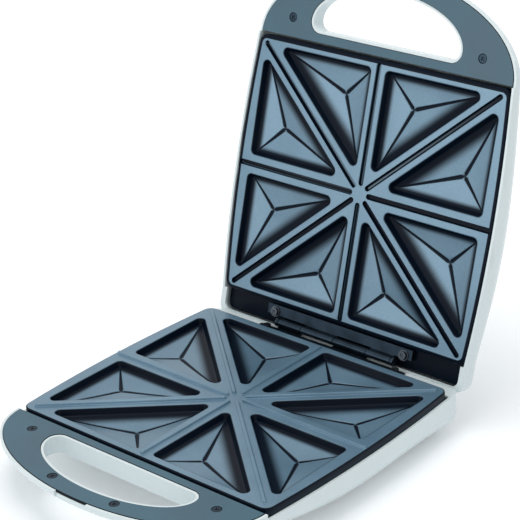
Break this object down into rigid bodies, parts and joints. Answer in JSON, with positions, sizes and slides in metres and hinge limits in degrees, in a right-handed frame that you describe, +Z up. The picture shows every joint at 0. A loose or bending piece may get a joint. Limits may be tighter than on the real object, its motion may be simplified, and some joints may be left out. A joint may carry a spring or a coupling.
{
  "type": "sandwich toaster",
  "caption": "Sandwich toaster opened flat on its base: white casings with looped handles, slate trims and dark non-stick plates with triangular pockets",
  "frame": {"origin": "on the surface it stands on, centred under the opened toaster", "axes": "+X across towards the right of someone at the handle, +Y away from the handle towards the hinge, +Z up"},
  "size_m": [0.2594, 0.4003, 0.3472],
  "materials": {
    "white_casing": "glossy moulded polypropylene",
    "slate_trim": "fine spark-eroded texture",
    "nonstick_coating": "dark grey-blue non-stick coating on die-cast aluminium",
    "plated_steel": "zinc-plated sheet and screws",
    "dark_steel": "darkened steel",
    "rubber_black": "moulded rubber",
    "black_plastic": "moulded nylon",
    "ceramic": "steatite and glass-filled plastic",
    "reflector_alu": "aluminised sheet",
    "lead_sleeve": "silicone-sleeved wire",
    "lens_red": "clear red lens",
    "lens_green": "clear green lens"
  },
  "bodies": {
    "base": {"base_shell": "white_casing", "base_trim": "slate_trim", "base_trim_screws": "dark_steel", "lower_plate": "nonstick_coating", "lower_plate_screws": "plated_steel", "lower_element": "dark_steel", "lower_element_seals": "ceramic", "lower_element_clamps": "plated_steel", "lower_clamp_screws": "plated_steel", "lower_reflector": "reflector_alu", "lower_reflector_screws": "plated_steel", "thermostat": "black_plastic", "thermostat_screws": "plated_steel", "thermal_fuse": "ceramic", "fuse_clip": "plated_steel", "terminal_block": "ceramic", "terminal_block_screws": "plated_steel", "base_leads": "lead_sleeve", "cord_gland": "black_plastic", "cord_clamp": "black_plastic", "cord_clamp_screws": "plated_steel", "rubber_feet": "rubber_black", "hinge_base_leaf": "dark_steel", "hinge_base_screws": "plated_steel", "hinge_pin": "dark_steel"},
    "lid": {"lid_shell": "white_casing", "lid_trim": "slate_trim", "lid_trim_screws": "dark_steel", "upper_plate": "nonstick_coating", "upper_plate_screws": "plated_steel", "upper_element": "dark_steel", "upper_element_seals": "ceramic", "upper_element_clamps": "plated_steel", "upper_clamp_screws": "plated_steel", "upper_reflector": "reflector_alu", "upper_reflector_screws": "plated_steel", "lamp_holder": "ceramic", "lamp_holder_screws": "plated_steel", "pilot_lamps": "ceramic", "power_lens": "lens_red", "ready_lens": "lens_green", "lid_leads": "lead_sleeve", "hinge_lid_leaf": "dark_steel", "hinge_lid_screws": "plated_steel", "hinge_lid_washers": "plated_steel", "latch_pin": "plated_steel"},
    "latch": {"latch": "slate_trim"}
  },
  "joints": [
    {"name": "lid_hinge", "type": "hinge", "parent": "base", "child": "lid", "pos_m": [0, 0.10216, 0.041], "axis": [1, 0, 0], "range_deg": [0, 105.2]},
    {"name": "latch_pivot", "type": "hinge", "parent": "lid", "child": "latch", "pos_m": [0, 0.18944, 0.32713], "axis": [1, 0, 0], "range_deg": [0, 95]}
  ]
}
